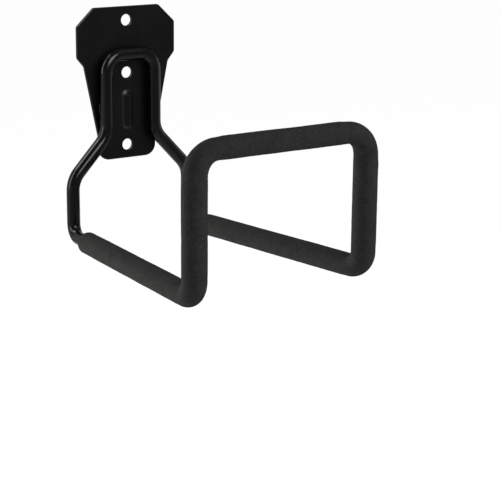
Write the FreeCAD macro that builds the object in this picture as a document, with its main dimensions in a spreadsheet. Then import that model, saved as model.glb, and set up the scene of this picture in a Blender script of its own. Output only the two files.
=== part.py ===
import FreeCAD, Part
import math
import os
import Sketcher

# Hose hanger: a pressed steel wall plate, one bent steel bar welded to its face,
# and a foam sleeve on the two arms and the front loop of the bar.
# Millimetres. The origin is the middle of the screw line on the wall face.
# +X points right, -Y comes out from the wall towards the viewer, +Z points up.

# Every "drop" is a distance below the origin, and every "half" is a distance from the middle plane.
sizes = {
    "plate_thickness": 2.0,
    "plate_half_height": 58.5,
    "head_half_width": 42.6,
    "head_top_half_width": 28.3,
    "head_chamfer_height": 45.0,
    "head_side_height": 21.4,
    "neck_half_width": 36.8,
    "neck_height": 14.7,
    "tail_half_width": 25.0,
    "tail_drop": 42.0,
    "head_corner_radius": 3.0,
    "neck_corner_radius": 4.0,
    "tail_corner_radius": 9.0,
    "tail_bend_radius": 20.0,
    "front_edge_radius": 0.7,
    "hole_diameter": 8.75,
    "outer_hole_half_spacing": 48.0,
    "middle_hole_height": 8.0,
    "rib_width": 10.0,
    "rib_height": 1.8,
    "rib_drop": 20.5,
    "rib_straight_length": 21.0,
    "rib_root_radius": 2.0,
    "bar_diameter": 10.0,
    "saddle_height": 23.0,
    "saddle_half_width": 21.0,
    "saddle_bend_radius": 13.0,
    "kick_start_drop": 38.1,
    "kick_end_drop": 69.8,
    "kick_bend_radius": 20.0,
    "leg_half_width": 51.0,
    "arm_rear_drop": 113.0,
    "arm_front_drop": 109.0,
    "leg_bend_radius": 10.0,
    "arm_bend_radius": 13.0,
    "section_drop": 87.0,
    "reach": 210.0,
    "loop_half_width": 70.0,
    "loop_top_drop": 10.0,
    "loop_bend_radius": 17.0,
    "bar_end_half_gap": 0.5,
    "sleeve_diameter": 16.6,
    "sleeve_start": 26.0,
    "outer_weld_length": 3.0,
    "top_weld_length": 8.0,
    "weld_taper_length": 2.5,
    "weld_radius": 1.7,
    "weld_tip_radius": 0.8,
    "weld_side_offset": 2.9,
    "weld_face_offset": 0.6,
    "outer_weld_drop": 18.0,
}

document = FreeCAD.newDocument("hose_hanger")
sheet = document.addObject("Spreadsheet::Sheet", "dims")
for row, (name, value) in enumerate(sizes.items(), start=1):
    sheet.set(f"A{row}", name)
    sheet.set(f"B{row}", str(value))
    sheet.setAlias(f"B{row}", name)
document.recompute()


def cell(name):
    """A size as its number and the formula that reads it from the sheet."""
    return sizes[name], f"dims.{name}"


def minus(size):
    """The same size, measured the other way from the origin."""
    value, formula = size
    return -value, formula


ZERO = (0.0, "0")
BAR_DEPTH = (
    sizes["plate_thickness"] + sizes["bar_diameter"] / 2,
    "(dims.plate_thickness + dims.bar_diameter / 2)",
)
ARM_LENGTH = (
    math.hypot(sizes["loop_half_width"] - sizes["leg_half_width"], sizes["reach"] - BAR_DEPTH[0]),
    f"sqrt((dims.loop_half_width - dims.leg_half_width)^2 + (dims.reach - {BAR_DEPTH[1]})^2)",
)
ARM_RISE = (
    (sizes["arm_rear_drop"] - sizes["arm_front_drop"]) / ARM_LENGTH[0],
    f"((dims.arm_rear_drop - dims.arm_front_drop) / {ARM_LENGTH[1]})",
)
SLEEVE_START_DROP = (
    sizes["arm_rear_drop"] - sizes["sleeve_start"] * ARM_RISE[0],
    f"dims.arm_rear_drop - dims.sleeve_start * {ARM_RISE[1]}",
)
ARM_TURN = f"90deg - atan((dims.loop_half_width - dims.leg_half_width) / (dims.reach - {BAR_DEPTH[1]}))"


def new_body(label):
    body = document.addObject("PartDesign::Body", label)
    body.Label = label
    return body


def origin_plane(body, role):
    for feature in body.Origin.OriginFeatures:
        if feature.Role == role:
            return feature
    raise ValueError(f"{body.Label} has no plane {role}")


def new_sketch(body, name, role, offset=ZERO):
    """A sketch on one of the body's own planes, moved along that plane's normal."""
    sketch = body.newObject("Sketcher::SketchObject", name)
    sketch.AttachmentSupport = [(origin_plane(body, role), "")]
    sketch.MapMode = "FlatFace"
    if offset[0] != 0.0:
        value, formula = offset
        sign = "-" if value < 0 else ""
        sketch.AttachmentOffset = FreeCAD.Placement(FreeCAD.Vector(0, 0, value), FreeCAD.Rotation())
        sketch.setExpression("AttachmentOffset.Base.z", f"{sign}({formula})")
    return sketch


def bind(sketch, constraint, formula):
    index = sketch.addConstraint(constraint)
    sketch.setExpression(f"Constraints[{index}]", formula)


def place_point(sketch, geometry, position, x, y):
    """Hold one point of the sketch at x, y from the sketch's origin."""
    for kind, axis, (value, formula) in (("DistanceX", -2, x), ("DistanceY", -1, y)):
        if value == 0.0:
            sketch.addConstraint(Sketcher.Constraint("PointOnObject", geometry, position, axis))
        elif value > 0.0:
            bind(sketch, Sketcher.Constraint(kind, -1, 1, geometry, position, value), formula)
        else:
            bind(sketch, Sketcher.Constraint(kind, geometry, position, -1, 1, -value), formula)


def circle(sketch, x, y, diameter):
    value, formula = diameter
    centre = FreeCAD.Vector(x[0], y[0], 0)
    geometry = sketch.addGeometry(Part.Circle(centre, FreeCAD.Vector(0, 0, 1), value / 2))
    place_point(sketch, geometry, 3, x, y)
    bind(sketch, Sketcher.Constraint("Diameter", geometry, value), formula)


def bent_line(sketch, points, bends, closed=False):
    """Straight runs through the points, with a tangent arc of the given radius at each bend.

    An open line bends at its inner points, and a closed one at all of them.
    """
    count = len(points)
    spots = [FreeCAD.Vector(x[0], y[0], 0) for x, y in points]
    corners = range(count) if closed else range(1, count - 1)
    radius_at = dict(zip(corners, bends))
    run_count = count if closed else count - 1
    starts = {}
    ends = {}
    arcs = {}
    for corner in corners:
        spot = spots[corner]
        inward = (spot - spots[corner - 1]).normalize()
        outward = (spots[(corner + 1) % count] - spot).normalize()
        turn = inward.getAngle(outward)
        radius = radius_at[corner][0]
        trim = radius * math.tan(turn / 2)
        arc_start = spot - inward * trim
        arc_end = spot + outward * trim
        centre = spot + (outward - inward).normalize() * (radius / math.cos(turn / 2))
        left_turn = inward.cross(outward).z > 0
        first, last = (arc_start, arc_end) if left_turn else (arc_end, arc_start)
        first_angle = math.atan2(first.y - centre.y, first.x - centre.x)
        last_angle = math.atan2(last.y - centre.y, last.x - centre.x)
        whole = Part.Circle(centre, FreeCAD.Vector(0, 0, 1), radius)
        ends[corner] = arc_start
        starts[corner] = arc_end
        arcs[corner] = (Part.ArcOfCircle(whole, first_angle, last_angle), left_turn)
    runs = []
    for run in range(run_count):
        run_start = starts.get(run, spots[run])
        run_end = ends.get((run + 1) % count, spots[(run + 1) % count])
        runs.append(sketch.addGeometry(Part.LineSegment(run_start, run_end)))
    if not closed:
        place_point(sketch, runs[0], 1, *points[0])
        place_point(sketch, runs[-1], 2, *points[-1])
    for corner, (arc, left_turn) in arcs.items():
        before = runs[corner - 1]
        after = runs[corner]
        bend = sketch.addGeometry(arc)
        meets_before, meets_after = (1, 2) if left_turn else (2, 1)
        sketch.addConstraint(Sketcher.Constraint("Tangent", before, 2, bend, meets_before))
        sketch.addConstraint(Sketcher.Constraint("Tangent", bend, meets_after, after, 1))
        value, formula = radius_at[corner]
        bind(sketch, Sketcher.Constraint("Radius", bend, value), formula)
        mark = sketch.addGeometry(Part.Point(spots[corner]), True)
        place_point(sketch, mark, 1, *points[corner])
        sketch.addConstraint(Sketcher.Constraint("PointOnObject", mark, 1, before))
        sketch.addConstraint(Sketcher.Constraint("PointOnObject", mark, 1, after))


def pipe(body, name, profile, path):
    feature = body.newObject("PartDesign::AdditivePipe", name)
    feature.Profile = profile
    feature.Spine = path
    return feature


def mirror_left(body, name, features):
    """Repeat the right-hand features on the left of the middle plane."""
    feature = body.newObject("PartDesign::Mirrored", name)
    feature.Originals = features
    feature.MirrorPlane = (origin_plane(body, "YZ_Plane"), [""])
    body.Tip = feature
    return feature


def flat_edges(shape, depth, half_width=1000.0, low=-1000.0, high=1000.0):
    """Names of the edges that lie in the plane y = depth, within a half width and two heights."""
    names = []
    for number, edge in enumerate(shape.Edges, start=1):
        box = edge.BoundBox
        in_plane = abs(box.YMin - depth) < 1e-6 and abs(box.YMax - depth) < 1e-6
        across = max(abs(box.XMin), abs(box.XMax)) <= half_width
        along = box.ZMin >= low and box.ZMax <= high
        if in_plane and across and along:
            names.append(f"Edge{number}")
    return names


# The wall plate: a flat blank with a wide chamfered head and a tapering tail.
plate = new_body("wall_plate")
right_side = [
    (cell("head_top_half_width"), cell("plate_half_height"), cell("head_corner_radius")),
    (cell("head_half_width"), cell("head_chamfer_height"), cell("head_corner_radius")),
    (cell("head_half_width"), cell("head_side_height"), cell("neck_corner_radius")),
    (cell("neck_half_width"), cell("neck_height"), cell("neck_corner_radius")),
    (cell("tail_half_width"), minus(cell("tail_drop")), cell("tail_bend_radius")),
    (cell("tail_half_width"), minus(cell("plate_half_height")), cell("tail_corner_radius")),
]
left_side = [(minus(x), y, radius) for x, y, radius in reversed(right_side)]
outline = right_side + left_side
blank_sketch = new_sketch(plate, "blank_sketch", "XZ_Plane")
bent_line(
    blank_sketch,
    [(x, y) for x, y, radius in outline],
    [radius for x, y, radius in outline],
    closed=True,
)
blank = plate.newObject("PartDesign::Pad", "blank")
blank.Profile = blank_sketch
blank.setExpression("Length", "dims.plate_thickness")
document.recompute()

hole_sketch = new_sketch(plate, "hole_sketch", "XZ_Plane")
hole_heights = [
    cell("outer_hole_half_spacing"),
    cell("middle_hole_height"),
    minus(cell("outer_hole_half_spacing")),
]
for height in hole_heights:
    circle(hole_sketch, ZERO, height, cell("hole_diameter"))
holes = plate.newObject("PartDesign::Pocket", "holes")
holes.Profile = hole_sketch
holes.Type = "ThroughAll"
holes.Reversed = True
document.recompute()

# The stamped and coated edges are rounded on the front, round the rim and the holes.
front = -sizes["plate_thickness"]
front_edges = plate.newObject("PartDesign::Fillet", "front_edges")
front_edges.Base = (holes, flat_edges(holes.Shape, front))
front_edges.setExpression("Radius", "dims.front_edge_radius")
document.recompute()

# The stiffening rib is pressed forward between the lower two holes: round across, with domed ends.
# Its hollow back keeps the sheet's thickness.
rib_outer_radius = "((dims.rib_width / 2)^2 + dims.rib_height^2) / (2 * dims.rib_height)"
outer_radius = ((sizes["rib_width"] / 2) ** 2 + sizes["rib_height"] ** 2) / (2 * sizes["rib_height"])
inner_radius = outer_radius - sizes["plate_thickness"]
rib_inner_radius = f"{rib_outer_radius} - dims.plate_thickness"
inner_width = 2 * math.sqrt(2 * inner_radius * sizes["rib_height"] - sizes["rib_height"] ** 2)
rib_inner_width = f"2 * sqrt(2 * ({rib_inner_radius}) * dims.rib_height - dims.rib_height^2)"


def rib_shape(name, straight_kind, end_kind, face, width, radius):
    """One skin of the rib: a straight run of arc section, and a domed end above and below it."""
    height = sizes["rib_height"]
    half_run = sizes["rib_straight_length"] / 2
    lower_end = (
        -(sizes["rib_drop"] + half_run),
        "dims.rib_drop + dims.rib_straight_length / 2",
    )
    upper_end = (
        -(sizes["rib_drop"] - half_run),
        "dims.rib_drop - dims.rib_straight_length / 2",
    )
    crown = (face[0] - height, f"{face[1]} + dims.rib_height")
    centre_depth = crown[0] + radius[0]
    half_angle = math.asin(width[0] / 2 / radius[0])

    section = new_sketch(plate, f"{name}_section", "XY_Plane", lower_end)
    whole = Part.Circle(FreeCAD.Vector(0, centre_depth, 0), FreeCAD.Vector(0, 0, 1), radius[0])
    arc = section.addGeometry(
        Part.ArcOfCircle(whole, -math.pi / 2 - half_angle, -math.pi / 2 + half_angle)
    )
    left_end = FreeCAD.Vector(-width[0] / 2, face[0], 0)
    right_end = FreeCAD.Vector(width[0] / 2, face[0], 0)
    chord = section.addGeometry(Part.LineSegment(left_end, right_end))
    section.addConstraint(Sketcher.Constraint("Coincident", arc, 1, chord, 1))
    section.addConstraint(Sketcher.Constraint("Coincident", arc, 2, chord, 2))
    section.addConstraint(Sketcher.Constraint("Symmetric", chord, 1, chord, 2, -2))
    bind(section, Sketcher.Constraint("DistanceX", chord, 1, chord, 2, width[0]), width[1])
    bind(section, Sketcher.Constraint("Radius", arc, radius[0]), radius[1])
    if face[0] == 0.0:
        section.addConstraint(Sketcher.Constraint("PointOnObject", chord, 1, -1))
    else:
        bind(section, Sketcher.Constraint("DistanceY", chord, 1, -1, 1, -face[0]), face[1])
    straight = plate.newObject(straight_kind, f"{name}_straight")
    straight.Profile = section
    straight.setExpression("Length", "dims.rib_straight_length")
    straight.Reversed = straight_kind == "PartDesign::Pocket"

    for end_name, end, side in (("lower", lower_end, -1), ("upper", upper_end, 1)):
        half = new_sketch(plate, f"{name}_{end_name}_section", "YZ_Plane")
        rim_height = end[0] + side * width[0] / 2
        base_point = FreeCAD.Vector(face[0], end[0], 0)
        crown_point = FreeCAD.Vector(crown[0], end[0], 0)
        rim_point = FreeCAD.Vector(face[0], rim_height, 0)
        axis_line = half.addGeometry(Part.LineSegment(base_point, crown_point))
        face_line = half.addGeometry(Part.LineSegment(base_point, rim_point))
        dome = Part.Circle(FreeCAD.Vector(centre_depth, end[0], 0), FreeCAD.Vector(0, 0, 1), radius[0])
        if side < 0:
            curve = half.addGeometry(Part.ArcOfCircle(dome, math.pi, math.pi + half_angle))
            at_crown, at_rim = 1, 2
        else:
            curve = half.addGeometry(Part.ArcOfCircle(dome, math.pi - half_angle, math.pi))
            at_crown, at_rim = 2, 1
        half.addConstraint(Sketcher.Constraint("Coincident", face_line, 1, axis_line, 1))
        half.addConstraint(Sketcher.Constraint("Coincident", curve, at_crown, axis_line, 2))
        half.addConstraint(Sketcher.Constraint("Coincident", curve, at_rim, face_line, 2))
        half.addConstraint(Sketcher.Constraint("Vertical", face_line))
        half.addConstraint(Sketcher.Constraint("PointOnObject", curve, 3, axis_line))
        place_point(half, axis_line, 1, face, end)
        place_point(half, axis_line, 2, crown, end)
        bind(half, Sketcher.Constraint("Radius", curve, radius[0]), radius[1])
        turned = plate.newObject(end_kind, f"{name}_{end_name}_end")
        turned.Profile = half
        turned.ReferenceAxis = (half, [f"Edge{axis_line + 1}"])
        turned.Angle = 180.0
        turned.Midplane = True
    document.recompute()
    return turned


front_face = (front, "dims.plate_thickness")
rib = rib_shape(
    "rib",
    "PartDesign::Pad",
    "PartDesign::Revolution",
    front_face,
    cell("rib_width"),
    (outer_radius, rib_outer_radius),
)
rib_root = plate.newObject("PartDesign::Fillet", "rib_root")
rib_reach = (sizes["rib_straight_length"] + sizes["rib_width"]) / 2 + 0.1
rib_edges = flat_edges(
    rib.Shape,
    front,
    half_width=sizes["rib_width"] / 2 + 0.1,
    low=-sizes["rib_drop"] - rib_reach,
    high=-sizes["rib_drop"] + rib_reach,
)
rib_root.Base = (rib, rib_edges)
rib_root.setExpression("Radius", "dims.rib_root_radius")
document.recompute()
rib_shape(
    "hollow",
    "PartDesign::Pocket",
    "PartDesign::Groove",
    (0.0, "0"),
    (inner_width, rib_inner_width),
    (inner_radius, rib_inner_radius),
)


# The bar runs down from the middle of the saddle, kicks out, drops to the arm,
# comes forward with a slight splay and rises into the front loop.
def arm_sketch(body, name, points, bends):
    """The path of the right-hand arm, drawn in the upright plane that holds it."""
    sketch = new_sketch(body, name, "XZ_Plane")
    splay_turn = 90.0 - math.degrees(
        math.atan((sizes["loop_half_width"] - sizes["leg_half_width"]) / (sizes["reach"] - BAR_DEPTH[0]))
    )
    sketch.AttachmentOffset = FreeCAD.Placement(
        FreeCAD.Vector(sizes["leg_half_width"], 0, BAR_DEPTH[0]),
        FreeCAD.Rotation(FreeCAD.Vector(0, -1, 0), splay_turn),
    )
    sketch.setExpression("AttachmentOffset.Base.x", "dims.leg_half_width")
    sketch.setExpression("AttachmentOffset.Base.z", BAR_DEPTH[1])
    sketch.setExpression("AttachmentOffset.Rotation.Angle", ARM_TURN)
    bent_line(sketch, points, bends)
    return sketch


def loop_sketch(body, name, end):
    """The path of the right half of the front loop, up the side and in to the middle."""
    sketch = new_sketch(body, name, "XZ_Plane", cell("reach"))
    points = [
        (cell("loop_half_width"), minus(cell("section_drop"))),
        (cell("loop_half_width"), minus(cell("loop_top_drop"))),
        (end, minus(cell("loop_top_drop"))),
    ]
    bent_line(sketch, points, [cell("loop_bend_radius")])
    return sketch


bar = new_body("bent_bar")
saddle_section = new_sketch(bar, "saddle_section", "YZ_Plane")
circle(saddle_section, minus(BAR_DEPTH), cell("saddle_height"), cell("bar_diameter"))
saddle_path = new_sketch(bar, "saddle_path", "XZ_Plane", BAR_DEPTH)
bent_line(
    saddle_path,
    [
        (ZERO, cell("saddle_height")),
        (cell("saddle_half_width"), cell("saddle_height")),
        (cell("saddle_half_width"), minus(cell("kick_start_drop"))),
        (cell("leg_half_width"), minus(cell("kick_end_drop"))),
        (cell("leg_half_width"), minus(cell("section_drop"))),
    ],
    [cell("saddle_bend_radius"), cell("kick_bend_radius"), cell("kick_bend_radius")],
)
saddle = pipe(bar, "saddle", saddle_section, saddle_path)

leg_section = new_sketch(bar, "leg_section", "XY_Plane", minus(cell("section_drop")))
circle(leg_section, cell("leg_half_width"), minus(BAR_DEPTH), cell("bar_diameter"))
arm_path = arm_sketch(
    bar,
    "arm_path",
    [
        (ZERO, minus(cell("section_drop"))),
        (ZERO, minus(cell("arm_rear_drop"))),
        (ARM_LENGTH, minus(cell("arm_front_drop"))),
        (ARM_LENGTH, minus(cell("section_drop"))),
    ],
    [cell("leg_bend_radius"), cell("arm_bend_radius")],
)
arm = pipe(bar, "arm", leg_section, arm_path)

upright_section = new_sketch(bar, "upright_section", "XY_Plane", minus(cell("section_drop")))
circle(upright_section, cell("loop_half_width"), minus(cell("reach")), cell("bar_diameter"))
loop_path = loop_sketch(bar, "loop_path", cell("bar_end_half_gap"))
loop = pipe(bar, "loop", upright_section, loop_path)
mirror_left(bar, "left_side", [saddle, arm, loop])
document.recompute()

# The foam sleeve grips the bar from just past the lower bends right round the loop.
sleeve = new_body("foam_sleeve")
upright_ring = new_sketch(sleeve, "upright_ring", "XY_Plane", minus(cell("section_drop")))
for diameter in (cell("sleeve_diameter"), cell("bar_diameter")):
    circle(upright_ring, cell("loop_half_width"), minus(cell("reach")), diameter)
sleeve_loop_path = loop_sketch(sleeve, "sleeve_loop_path", ZERO)
sleeve_loop = pipe(sleeve, "sleeve_loop", upright_ring, sleeve_loop_path)
sleeve_arm_path = arm_sketch(
    sleeve,
    "sleeve_arm_path",
    [
        (ARM_LENGTH, minus(cell("section_drop"))),
        (ARM_LENGTH, minus(cell("arm_front_drop"))),
        (cell("sleeve_start"), minus(SLEEVE_START_DROP)),
    ],
    [cell("arm_bend_radius")],
)
arm_ring = new_sketch(sleeve, "arm_ring", "XY_Plane", minus(cell("section_drop")))
for diameter in (cell("sleeve_diameter"), cell("bar_diameter")):
    circle(arm_ring, cell("loop_half_width"), minus(cell("reach")), diameter)
sleeve_arm = pipe(sleeve, "sleeve_arm", arm_ring, sleeve_arm_path)
mirror_left(sleeve, "sleeve_left_side", [sleeve_loop, sleeve_arm])
document.recompute()


# Short welds fill the notch between the bar and the plate:
# one on the outer side of each saddle leg, and one under the saddle's top.
def weld_form(name, across, height, length, level):
    """A bead before it is trimmed: a short round rod, level or upright, that tapers at both ends."""
    ahead = FreeCAD.Rotation(FreeCAD.Vector(0, 1, 0), 90.0 if level else 0.0)
    behind = FreeCAD.Rotation(FreeCAD.Vector(0, 1, 0), -90.0 if level else 180.0)
    pieces = [
        ("middle", "Part::Cylinder", ahead, "-"),
        ("first_end", "Part::Cone", ahead, "+"),
        ("last_end", "Part::Cone", behind, "-"),
    ]
    parts = []
    for piece, kind, turn, sign in pieces:
        part = document.addObject(kind, f"{name}_{piece}")
        part.Placement = FreeCAD.Placement(FreeCAD.Vector(), turn)
        step = f" {sign} {length} / 2"
        part.setExpression("Placement.Base.x", across + step if level else across)
        part.setExpression("Placement.Base.y", "-dims.plate_thickness - dims.weld_face_offset")
        part.setExpression("Placement.Base.z", height if level else height + step)
        if kind == "Part::Cylinder":
            part.setExpression("Radius", "dims.weld_radius")
            part.setExpression("Height", length)
        else:
            part.setExpression("Radius1", "dims.weld_radius")
            part.setExpression("Radius2", "dims.weld_tip_radius")
            part.setExpression("Height", "dims.weld_taper_length")
        parts.append(part)
    form = document.addObject("Part::MultiFuse", name)
    form.Shapes = parts
    return form


outer_place = ("-dims.outer_weld_drop", "dims.outer_weld_length", False)
top_place = ("dims.saddle_height - dims.weld_side_offset", "dims.top_weld_length", True)
weld_forms = [
    weld_form("weld_right", "dims.saddle_half_width + dims.weld_side_offset", *outer_place),
    weld_form("weld_left", "-dims.saddle_half_width - dims.weld_side_offset", *outer_place),
    weld_form("weld_top", "0", *top_place),
]
weld_group = document.addObject("Part::Compound", "weld_group")
weld_group.Links = weld_forms
off_plate = document.addObject("Part::Cut", "welds_off_plate")
off_plate.Base = weld_group
off_plate.Tool = plate
welds = document.addObject("Part::Cut", "weld_beads")
welds.Base = off_plate
welds.Tool = bar
welds.Label = "weld_beads"
document.recompute()

for item in document.Objects:
    if "Invalid" in item.State or "Error" in item.State:
        raise RuntimeError(f"{item.Name} did not compute: {item.State}")

os.makedirs("parts", exist_ok=True)
for item in (plate, bar, sleeve, welds):
    shape = item.Shape
    if shape.isNull() or not shape.isValid():
        raise RuntimeError(f"{item.Label} has no valid shape")
    shape.exportStep(f"parts/{item.Label}.step")
    print(item.Label, len(shape.Solids), "solids", round(shape.Volume), "mm3")
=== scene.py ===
import math

import bpy
from mathutils import Matrix, Vector, noise


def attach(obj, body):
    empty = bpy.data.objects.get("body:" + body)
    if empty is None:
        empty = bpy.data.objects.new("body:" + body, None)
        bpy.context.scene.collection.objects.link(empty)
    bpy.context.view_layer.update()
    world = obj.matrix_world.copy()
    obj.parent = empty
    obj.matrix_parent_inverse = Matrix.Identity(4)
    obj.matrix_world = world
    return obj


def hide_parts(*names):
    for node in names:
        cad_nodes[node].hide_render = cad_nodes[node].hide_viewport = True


# Looks of a hose hanger: satin black plate, semi-gloss black bar, matte foam sleeve.
# Metres, in the part's own frame: +X right, -Y out from the wall, +Z up.
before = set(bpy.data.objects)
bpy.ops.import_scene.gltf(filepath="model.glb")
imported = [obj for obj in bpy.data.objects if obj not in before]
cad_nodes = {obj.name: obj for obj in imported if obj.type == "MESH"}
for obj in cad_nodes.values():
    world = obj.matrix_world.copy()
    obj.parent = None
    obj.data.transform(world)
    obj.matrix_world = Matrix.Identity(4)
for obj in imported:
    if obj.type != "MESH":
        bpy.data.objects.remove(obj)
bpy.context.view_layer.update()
scene = bpy.context.scene

MM = 0.001

# The line of the bar under the sleeve, and the sleeve's sizes, as in the part's source.
BAR_RADIUS = 5.0 * MM
BAR_DEPTH = 7.0 * MM
LEG_HALF_WIDTH = 51.0 * MM
LOOP_HALF_WIDTH = 70.0 * MM
REACH = 210.0 * MM
ARM_REAR_DROP = 113.0 * MM
ARM_FRONT_DROP = 109.0 * MM
LOOP_TOP_DROP = 10.0 * MM
ARM_BEND_RADIUS = 13.0 * MM
LOOP_BEND_RADIUS = 17.0 * MM
SLEEVE_RADIUS = 8.3 * MM
SLEEVE_START = 26.0 * MM

# How the soft sleeve departs from a plain tube.
BORE_RADIUS = BAR_RADIUS + 0.05 * MM
END_ROUNDING = 1.4 * MM
UPRIGHT_SWELL = 0.5 * MM
TOP_BAR_THINNING = 0.35 * MM
BEND_SPREAD = 7.0 * MM
UPPER_BEND_THINNING = 0.55 * MM
LOWER_BEND_THINNING = 0.2 * MM
UPPER_BENDS_ABOVE = -60.0 * MM
THINNING_FALLOFF = 1.5
INNER_CREASE = 0.25 * MM
CREASE_SPACING = 3.6 * MM
CREASE_FALLOFF = 3
SLOW_SWELL = 0.16 * MM
SWELLS_PER_METRE = 55.0
DIMPLE_DEPTH = 0.07 * MM
DIMPLES_PER_METRE = 420.0

# How finely the soft sleeve is meshed.
RING_POINTS = 72
RING_STEP = 1.2 * MM
END_STEP = 0.2 * MM
BORE_STEP = 5.0 * MM
BORE_INSET = 0.5 * MM


def smooth_step(share):
    return share * share * (3.0 - 2.0 * share)


def route_pieces(points, radii):
    """The straight runs and arcs of a route, as (length, start, direction, centre side, radius) rows."""
    rows = []
    cursor = points[0]
    for index, radius in enumerate(radii, start=1):
        corner = points[index]
        inward = (corner - points[index - 1]).normalized()
        outward = (points[index + 1] - corner).normalized()
        turn = inward.angle(outward)
        trim = radius * math.tan(turn / 2)
        arc_start = corner - inward * trim
        side = (outward - inward * inward.dot(outward)).normalized()
        rows.append(((arc_start - cursor).length, cursor, inward, None, 0.0))
        rows.append((radius * turn, arc_start, inward, side, radius))
        cursor = corner + outward * trim
    last = points[-1] - cursor
    rows.append((last.length, cursor, last.normalized(), None, 0.0))
    return rows


def route_spot(rows, distance):
    """Point and direction at a distance along the route."""
    for row, (length, start, direction, side, radius) in enumerate(rows):
        if distance <= length or row == len(rows) - 1:
            break
        distance -= length
    if side is None:
        return start + direction * distance, direction
    angle = distance / radius
    centre = start + side * radius
    spot = centre + (direction * math.sin(angle) - side * math.cos(angle)) * radius
    heading = direction * math.cos(angle) + side * math.sin(angle)
    return spot, heading


def bend_effect(rows, distance):
    """How much the foam is bent at a distance along the route, from 0 to 1, and the side it bends to."""
    best = 0.0
    toward = None
    travelled = 0.0
    for length, start, direction, side, radius in rows:
        if side is not None:
            outside = max(travelled - distance, distance - travelled - length, 0.0)
            share = smooth_step(max(0.0, 1.0 - outside / BEND_SPREAD))
            if share > best:
                best = share
                along_arc = min(max(distance - travelled, 0.0), length)
                angle = along_arc / radius
                toward = side * math.cos(angle) - direction * math.sin(angle)
        travelled += length
    return best, toward


def carried_frames(rows, distances):
    """Ring centres and axes along the route, with the across axes carried on without twist."""
    frames = []
    across = Vector((0, 0, 1))
    for distance in distances:
        spot, heading = route_spot(rows, distance)
        across = (across - heading * across.dot(heading)).normalized()
        frames.append((spot, heading, across, heading.cross(across)))
    return frames


def even_steps(first, last, step):
    count = max(2, round((last - first) / step))
    return [first + (last - first) * index / count for index in range(count + 1)]


def foam_radius(rows, distance, total, outward, spot, heading):
    """Outer radius of the foam: fuller on the uprights, thin outside a bend and creased inside it."""
    bend, toward = bend_effect(rows, distance)
    radius = SLEEVE_RADIUS + UPRIGHT_SWELL * heading.z ** 2 - TOP_BAR_THINNING * heading.x ** 2
    if bend > 0.0:
        facing = outward.dot(toward)
        thinning = UPPER_BEND_THINNING if spot.z > UPPER_BENDS_ABOVE else LOWER_BEND_THINNING
        radius -= thinning * bend * max(0.0, -facing) ** THINNING_FALLOFF
        crease = 0.5 - 0.5 * math.cos(2 * math.pi * distance / CREASE_SPACING)
        radius -= INNER_CREASE * bend * crease * max(0.0, facing) ** CREASE_FALLOFF
    surface = spot + outward * SLEEVE_RADIUS
    radius += SLOW_SWELL * noise.noise(surface * SWELLS_PER_METRE)
    radius += DIMPLE_DEPTH * noise.noise(surface * DIMPLES_PER_METRE)
    end = min(distance, total - distance)
    if end < END_ROUNDING:
        radius -= END_ROUNDING - math.sqrt(END_ROUNDING ** 2 - (END_ROUNDING - end) ** 2)
    return radius


def sleeve_route():
    """The sleeve's middle line, from the left arm's rear end round the loop to the right arm's."""
    splay_across = LOOP_HALF_WIDTH - LEG_HALF_WIDTH
    splay_out = REACH - BAR_DEPTH
    rise = (ARM_REAR_DROP - ARM_FRONT_DROP) / math.hypot(splay_across, splay_out)
    splay = math.atan2(splay_across, splay_out)
    start_across = LEG_HALF_WIDTH + SLEEVE_START * math.sin(splay)
    start_out = BAR_DEPTH + SLEEVE_START * math.cos(splay)
    right_half = [
        Vector((LOOP_HALF_WIDTH, -REACH, -LOOP_TOP_DROP)),
        Vector((LOOP_HALF_WIDTH, -REACH, -ARM_FRONT_DROP)),
        Vector((start_across, -start_out, -ARM_REAR_DROP + SLEEVE_START * rise)),
    ]
    left_half = [Vector((-point.x, point.y, point.z)) for point in reversed(right_half)]
    radii = [ARM_BEND_RADIUS, LOOP_BEND_RADIUS, LOOP_BEND_RADIUS, ARM_BEND_RADIUS]
    return route_pieces(left_half + right_half, radii)


def foam_sleeve_mesh():
    """A closed foam tube on the arms and the loop: outer skin, rounded ends and bore."""
    rows = sleeve_route()
    total = sum(row[0] for row in rows)
    end_steps = even_steps(0.0, END_ROUNDING, END_STEP)
    outer = end_steps + even_steps(END_ROUNDING, total - END_ROUNDING, RING_STEP)[1:-1]
    outer += [total - step for step in reversed(end_steps)]
    bore = even_steps(BORE_INSET, total - BORE_INSET, BORE_STEP)

    points = []
    turns = [2 * math.pi * step / RING_POINTS for step in range(RING_POINTS)]
    for distance, (spot, heading, across, aside) in zip(outer, carried_frames(rows, outer)):
        for turn in turns:
            outward = across * math.cos(turn) + aside * math.sin(turn)
            points.append(spot + outward * foam_radius(rows, distance, total, outward, spot, heading))
    for spot, heading, across, aside in reversed(carried_frames(rows, bore)):
        for turn in turns:
            points.append(spot + (across * math.cos(turn) + aside * math.sin(turn)) * BORE_RADIUS)

    ring_count = len(outer) + len(bore)
    faces = []
    for ring in range(ring_count):
        here = ring * RING_POINTS
        there = (ring + 1) % ring_count * RING_POINTS
        for step in range(RING_POINTS):
            beside = (step + 1) % RING_POINTS
            faces.append((here + step, here + beside, there + beside, there + step))
    mesh = bpy.data.meshes.new("foam_tube")
    mesh.from_pydata([tuple(point) for point in points], [], faces)
    mesh.validate()
    mesh.polygons.foreach_set("use_smooth", [True] * len(mesh.polygons))
    mesh.update()
    return mesh


def set_range(node, low, high, new_low, new_high):
    """Make a Map Range node fade smoothly from one range of values to another."""
    node.interpolation_type = "SMOOTHSTEP"
    for name, value in (("From Min", low), ("From Max", high), ("To Min", new_low), ("To Max", new_high)):
        node.inputs[name].default_value = value


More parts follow.
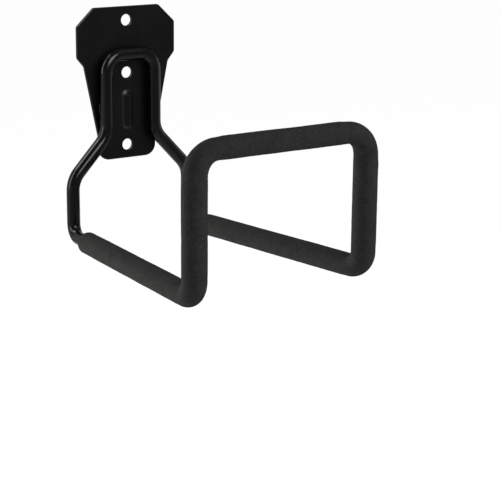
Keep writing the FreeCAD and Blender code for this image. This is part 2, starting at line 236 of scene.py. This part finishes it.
class Surface:
    """A procedural material, with short ways to add and join its nodes."""

    def __init__(self, name):
        self.material = bpy.data.materials.new(name)
        self.material.use_nodes = True
        self.tree = self.material.node_tree
        self.shader = self.tree.nodes["Principled BSDF"]
        self.place = self.add("ShaderNodeTexCoord").outputs["Object"]

    def add(self, kind):
        return self.tree.nodes.new(kind)

    def set(self, **values):
        for name, value in values.items():
            self.shader.inputs[name.replace("_", " ")].default_value = value

    def join(self, source, target):
        self.tree.links.new(source, target)

    def feed(self, source, input_name):
        self.join(source, self.shader.inputs[input_name])

    def noise(self, size, detail, roughness=0.5):
        """A noise pattern whose blotches are about size metres across."""
        node = self.add("ShaderNodeTexNoise")
        node.inputs["Scale"].default_value = 1.0 / size
        node.inputs["Detail"].default_value = detail
        node.inputs["Roughness"].default_value = roughness
        self.join(self.place, node.inputs["Vector"])
        return node.outputs["Fac"]

    def cells(self, size):
        """Distance to the nearest of scattered points about size metres apart, as a share of size."""
        node = self.add("ShaderNodeTexVoronoi")
        node.inputs["Scale"].default_value = 1.0 / size
        node.inputs["Randomness"].default_value = 1.0
        self.join(self.place, node.inputs["Vector"])
        return node.outputs["Distance"]

    def along(self, direction):
        """How far a point lies in a direction, in metres from the object's origin."""
        node = self.add("ShaderNodeVectorMath")
        node.operation = "DOT_PRODUCT"
        node.inputs[1].default_value = direction
        self.join(self.place, node.inputs[0])
        return node.outputs["Value"]

    def remap(self, source, low, high, new_low, new_high):
        node = self.add("ShaderNodeMapRange")
        set_range(node, low, high, new_low, new_high)
        self.join(source, node.inputs["Value"])
        return node.outputs["Result"]

    def math(self, operation, *values):
        node = self.add("ShaderNodeMath")
        node.operation = operation
        for value, target in zip(values, node.inputs):
            if isinstance(value, (int, float)):
                target.default_value = value
            else:
                self.join(value, target)
        return node.outputs["Value"]

    def blend(self, first, first_share, second, second_share):
        """The sum of two patterns, each times its share."""
        first_part = self.math("MULTIPLY", first, first_share)
        second_part = self.math("MULTIPLY", second, second_share)
        return self.math("ADD", first_part, second_part)

    def mix(self, share, first, second):
        """A colour between two, each a colour or another node's output."""
        node = self.add("ShaderNodeMix")
        node.data_type = "RGBA"
        self.join(share, node.inputs["Factor"])
        for value, name in ((first, "A"), (second, "B")):
            target = [item for item in node.inputs if item.name == name and item.type == "RGBA"][0]
            if isinstance(value, tuple):
                target.default_value = value
            else:
                self.join(value, target)
        return [item for item in node.outputs if item.type == "RGBA"][0]

    def bump(self, height, depth, below=None):
        """Small relief: height runs from 0 to 1, and depth is in metres."""
        node = self.add("ShaderNodeBump")
        node.inputs["Strength"].default_value = 1.0
        node.inputs["Distance"].default_value = depth
        self.join(height, node.inputs["Height"])
        if below is not None:
            self.join(below, node.inputs["Normal"])
        return node.outputs["Normal"]


def grey(value):
    return (value, value, value, 1.0)


def coat_black(level):
    return (COAT_TINT[0] * level, COAT_TINT[1] * level, COAT_TINT[2] * level, 1.0)


# The powder coat on plate, bar and welds. The turns are how far a surface faces the viewer's side or the
# wall, from 0 to 1: the flat faces are near 1, the cut walls near 0, and the rounded edges between them.
COAT_TINT = (0.98, 1.07, 0.92)
CLOUD_SIZE = 22 * MM
CLOUD_SHARE = 0.6
GRAIN_SIZE = 0.9 * MM
GRAIN_SHARE = 0.4
TONE_LOW = 0.3
TONE_HIGH = 0.7
GLOSS_SPREAD = 0.05
PEEL_SIZE = 2.6 * MM
GRAIN_RELIEF = 0.25
WALL_TURN = 0.1
EDGE_START = 0.3
EDGE_TURN = 0.80
FACE_TURN = 0.97


def powder_coat(name, dark, light, roughness, specular, edge_specular, peel):
    """Black powder coat: a fine orange-peel skin, slow changes of tone and gloss, and shinier edges."""
    coat = Surface(name)
    clouds = coat.noise(CLOUD_SIZE, detail=4.0)
    grain = coat.noise(GRAIN_SIZE, detail=2.0)
    tone = coat.blend(clouds, CLOUD_SHARE, grain, GRAIN_SHARE)
    light_share = coat.remap(tone, TONE_LOW, TONE_HIGH, 0.0, 1.0)
    coat.feed(coat.mix(light_share, coat_black(dark), coat_black(light)), "Base Color")
    smoothest = roughness - GLOSS_SPREAD
    roughest = roughness + GLOSS_SPREAD
    coat.feed(coat.remap(tone, TONE_LOW, TONE_HIGH, smoothest, roughest), "Roughness")

    normal_parts = coat.add("ShaderNodeSeparateXYZ")
    coat.join(coat.add("ShaderNodeNewGeometry").outputs["Normal"], normal_parts.inputs["Vector"])
    facing = coat.math("ABSOLUTE", normal_parts.outputs["Y"])
    off_face = coat.remap(facing, EDGE_TURN, FACE_TURN, 1.0, 0.0)
    off_wall = coat.remap(facing, WALL_TURN, EDGE_START, 0.0, 1.0)
    rounded = coat.math("MULTIPLY", off_face, off_wall)
    coat.feed(coat.remap(rounded, 0.0, 1.0, specular, edge_specular), "Specular IOR Level")

    waves = coat.bump(coat.noise(PEEL_SIZE, detail=2.0), peel)
    coat.feed(coat.bump(grain, peel * GRAIN_RELIEF, below=waves), "Normal")
    return coat.material


# The foam's skin. Pores and specks are sized as shares of the spacing of their scattered points.
FOAM_DARK = (0.0238, 0.0248, 0.0232, 1.0)
FOAM_LIGHT = (0.0385, 0.0399, 0.0375, 1.0)
FOAM_TONE_LOW = 0.36
FOAM_TONE_HIGH = 0.64
MOTTLE_SIZE = 9 * MM
MOTTLE_SHARE = 0.35
FOAM_GRAIN_SIZE = 1.4 * MM
FOAM_GRAIN_SHARE = 0.65
PORE_SPACING = 0.75 * MM
PORE_CORE = 0.05
PORE_SHADE_EDGE = 0.35
PORE_PIT_EDGE = 0.4
PORE_SHADE_STRENGTH = 0.55
PORE_SHADE_GREY = 0.0092
SPECK_SPACING = 17 * MM
SPECK_CORE = 0.016
SPECK_EDGE = 0.026
SPECK_GREY = 0.27
FOAM_SMOOTHEST = 0.82
FOAM_ROUGHEST = 0.95
FOAM_SPECULAR = 0.08
LUMP_DEPTH = 0.10 * MM
PIT_DEPTH = 0.12 * MM


def foam_skin():
    """Matte closed-cell foam: open pores darkened with painted shade, faint mottling and a few pale
    specks of dust.
    """
    foam = Surface("matte_foam")
    mottle = foam.noise(MOTTLE_SIZE, detail=5.0, roughness=0.6)
    grain = foam.noise(FOAM_GRAIN_SIZE, detail=3.0, roughness=0.65)
    tone = foam.blend(mottle, MOTTLE_SHARE, grain, FOAM_GRAIN_SHARE)
    base = foam.mix(foam.remap(tone, FOAM_TONE_LOW, FOAM_TONE_HIGH, 0.0, 1.0), FOAM_DARK, FOAM_LIGHT)
    # Painted shade: the cores of the pores are darkened towards a dark grey, standing in for the shade in
    # the pits.
    pores = foam.cells(PORE_SPACING)
    pore_shade = foam.remap(pores, PORE_CORE, PORE_SHADE_EDGE, 1.0, 0.0)
    base = foam.mix(foam.math("MULTIPLY", pore_shade, PORE_SHADE_STRENGTH), base, grey(PORE_SHADE_GREY))
    specks = foam.remap(foam.cells(SPECK_SPACING), SPECK_CORE, SPECK_EDGE, 1.0, 0.0)
    foam.feed(foam.mix(specks, base, grey(SPECK_GREY)), "Base Color")
    foam.feed(foam.remap(tone, TONE_LOW, TONE_HIGH, FOAM_SMOOTHEST, FOAM_ROUGHEST), "Roughness")
    foam.set(Specular_IOR_Level=FOAM_SPECULAR)
    lumps = foam.bump(grain, LUMP_DEPTH)
    pits = foam.remap(pores, PORE_CORE, PORE_PIT_EDGE, 0.0, 1.0)
    foam.feed(foam.bump(pits, PIT_DEPTH, below=lumps), "Normal")
    return foam.material


plate_coat = powder_coat(
    "plate_coat",
    dark=0.0057,
    light=0.0076,
    roughness=0.28,
    specular=0.19,
    edge_specular=1.0,
    peel=0.016 * MM,
)
bar_coat = powder_coat(
    "bar_coat",
    dark=0.0022,
    light=0.0034,
    roughness=0.16,
    specular=0.50,
    edge_specular=0.50,
    peel=0.010 * MM,
)
finishes = {"wall_plate": plate_coat, "bent_bar": bar_coat, "weld_beads": bar_coat}
for node_name, finish in finishes.items():
    slots = cad_nodes[node_name].data.materials
    slots.clear()
    slots.append(finish)

foam = bpy.data.objects.new("soft_sleeve", foam_sleeve_mesh())
foam.data.materials.append(foam_skin())
scene.collection.objects.link(foam)
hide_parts("foam_sleeve")
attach(foam, "root")

# The camera, as it stood for the photograph: the middle screw hole falls on a known spot of the picture.
PICTURE_SIDE = 500.0
SENSOR_MM = 36.0
YAW = math.radians(34.286)
PITCH = math.radians(15.055)
ROLL = math.radians(0.544)
DISTANCE = 1.219
FOCAL_PIXELS = 1304.0 * DISTANCE
HOLE = Vector((0.0, 0.0, 8.0 * MM))
HOLE_PIXEL = (125.661, 71.996)
NEAREST_SEEN = 0.05
FARTHEST_SEEN = 60.0

level_right = Vector((math.cos(YAW), -math.sin(YAW), 0.0))
forward = Vector((math.sin(YAW) * math.cos(PITCH), math.cos(YAW) * math.cos(PITCH), -math.sin(PITCH)))
level_up = level_right.cross(forward)
right = level_right * math.cos(ROLL) + level_up * math.sin(ROLL)
up = level_up * math.cos(ROLL) - level_right * math.sin(ROLL)
hole_right = (HOLE_PIXEL[0] - PICTURE_SIDE / 2) / FOCAL_PIXELS * DISTANCE
hole_up = (PICTURE_SIDE / 2 - HOLE_PIXEL[1]) / FOCAL_PIXELS * DISTANCE
camera_spot = HOLE - right * hole_right - up * hole_up - forward * DISTANCE

camera = bpy.data.objects.new("camera", bpy.data.cameras.new("camera"))
camera.data.sensor_width = SENSOR_MM
camera.data.lens = FOCAL_PIXELS / PICTURE_SIDE * SENSOR_MM
camera.data.clip_start = NEAREST_SEEN
camera.data.clip_end = FARTHEST_SEEN
camera_axes = Matrix((right, up, -forward)).transposed().to_4x4()
camera.matrix_world = Matrix.Translation(camera_spot) @ camera_axes
scene.collection.objects.link(camera)
scene.camera = camera

# A plain floor far below the hanger. It is white to the camera and keeps the hanger's soft shadow.
# It also glows though it is no lamp: a painted glow lights matte surfaces in place of bounce light,
# and in the coats it shows as a painted dim sheen, which is lighter far out to the left and to the right.
FLOOR_DROP = 0.9
FLOOR_HALF_SIDE = 20.0
FLOOR_TONE = 0.35
FLOOR_ROUGHNESS = 0.9
FLOOR_GLOW = 0.93
FLOOR_PAINTED_BOUNCE = 0.494
SHEEN_MIDDLE = 0.10
SHEEN_LEFT = 0.34
SHEEN_RIGHT = 0.40
SHEEN_FROM = 1.8
SHEEN_TO = 3.3
LEFT_DIRECTION = (-0.83, 0.56, 0.0)
RIGHT_DIRECTION = (0.90, 0.44, 0.0)
floor_mesh = bpy.data.meshes.new("floor")
floor_corners = [(-1, -1), (1, -1), (1, 1), (-1, 1)]
floor_mesh.from_pydata(
    [(x * FLOOR_HALF_SIDE, y * FLOOR_HALF_SIDE, -FLOOR_DROP) for x, y in floor_corners],
    [],
    [(0, 1, 2, 3)],
)
floor = bpy.data.objects.new("floor", floor_mesh)
scene.collection.objects.link(floor)

floor_paint_and_glow = Surface("floor_paint_and_glow")
floor_paint_and_glow.set(Base_Color=grey(FLOOR_TONE), Roughness=FLOOR_ROUGHNESS, Specular_IOR_Level=0.0)
floor_paint_and_glow.set(Emission_Color=grey(1.0))
# Painted sheen: for rays from the coats the floor glows a little in the middle and more far out to the
# left and right.
sheen = SHEEN_MIDDLE
for direction, level in ((LEFT_DIRECTION, SHEEN_LEFT), (RIGHT_DIRECTION, SHEEN_RIGHT)):
    reach = floor_paint_and_glow.along(direction)
    side_sheen = floor_paint_and_glow.remap(reach, SHEEN_FROM, SHEEN_TO, 0.0, level - SHEEN_MIDDLE)
    sheen = floor_paint_and_glow.math("ADD", sheen, side_sheen)
# Painted light: the floor glows for matte surfaces in place of light bounced off it, and for the coats as
# the sheen above.
floor_rays = floor_paint_and_glow.add("ShaderNodeLightPath").outputs
floor_levels = {"Is Camera Ray": FLOOR_GLOW, "Is Diffuse Ray": FLOOR_PAINTED_BOUNCE, "Is Glossy Ray": sheen}
glow = 0.0
for ray, level in floor_levels.items():
    glow = floor_paint_and_glow.math("ADD", glow, floor_paint_and_glow.math("MULTIPLY", floor_rays[ray], level))
floor_paint_and_glow.feed(glow, "Emission Strength")
floor.data.materials.append(floor_paint_and_glow.material)

# The world: white to the camera, dim to matte surfaces, and in the coats a grey that is lighter behind
# the hanger than on the viewer's side. The fade runs between two values of a direction's Y.
CAMERA_LEVEL = 1.0
DIFFUSE_LEVEL = 0.156
FRONT_LEVEL = 0.13
BACK_LEVEL = 0.35
FADE_FROM = -0.1
FADE_TO = 0.7
world = bpy.data.worlds.new("studio")
scene.world = world
world.use_nodes = True
sky = world.node_tree
sky.nodes.clear()
sky_rays = sky.nodes.new("ShaderNodeLightPath").outputs
sky_axes = sky.nodes.new("ShaderNodeSeparateXYZ")
sky.links.new(sky.nodes.new("ShaderNodeTexCoord").outputs["Generated"], sky_axes.inputs["Vector"])
sky_fade = sky.nodes.new("ShaderNodeMapRange")
set_range(sky_fade, FADE_FROM, FADE_TO, FRONT_LEVEL, BACK_LEVEL)
sky.links.new(sky_axes.outputs["Y"], sky_fade.inputs["Value"])


def sky_background(level=None):
    """A white world of one level, or of the level that fades from front to back."""
    background = sky.nodes.new("ShaderNodeBackground")
    background.inputs["Color"].default_value = grey(1.0)
    if level is None:
        sky.links.new(sky_fade.outputs["Result"], background.inputs["Strength"])
    else:
        background.inputs["Strength"].default_value = level
    return background.outputs["Background"]


shown = sky_background(DIFFUSE_LEVEL)
for ray, other in (("Is Glossy Ray", sky_background()), ("Is Camera Ray", sky_background(CAMERA_LEVEL))):
    choice = sky.nodes.new("ShaderNodeMixShader")
    sky.links.new(sky_rays[ray], choice.inputs[0])
    sky.links.new(shown, choice.inputs[1])
    sky.links.new(other, choice.inputs[2])
    shown = choice.outputs[0]
sky_output = sky.nodes.new("ShaderNodeOutputWorld")
sky.links.new(shown, sky_output.inputs["Surface"])

# The lamps all face one point in the middle of the hanger. Power is in watts.
LAMP_TARGET = Vector((0.0, -0.1, -0.03))


def soft_box(name, spot, width, height, power, fill):
    """A rectangular lamp: a fill lights matte surfaces, and the others only shine in the coats."""
    lamp = bpy.data.lights.new(name, "AREA")
    lamp.shape = "RECTANGLE"
    lamp.size = width
    lamp.size_y = height
    lamp.energy = power
    holder = bpy.data.objects.new(name, lamp)
    holder.location = spot
    holder.rotation_euler = (LAMP_TARGET - Vector(spot)).to_track_quat("-Z", "Y").to_euler()
    holder.visible_camera = False
    holder.visible_glossy = not fill
    holder.visible_diffuse = fill
    scene.collection.objects.link(holder)


soft_box("top_box", (-0.75, 0.45, 1.25), width=0.8, height=0.8, power=7.2, fill=False)
soft_box("left_box", (-1.45, 0.3, 0.45), width=0.6, height=1.3, power=6.0, fill=False)
soft_box("bridge_box", (0.36, -0.90, 1.08), width=1.1, height=0.35, power=0.45, fill=False)
soft_box("right_box", (1.43, -0.2, 0.1), width=0.35, height=0.4, power=0.5, fill=False)
soft_box("front_box", (-0.1, -1.5, 0.7), width=0.9, height=0.9, power=9.0, fill=False)
soft_box("rim_fill", (-1.0, 1.37, 0.0), width=1.5, height=1.5, power=56.0, fill=True)
soft_box("key_fill", (0.9, -1.27, 0.96), width=1.5, height=1.5, power=23.4, fill=True)

scene.view_settings.view_transform = "Standard"
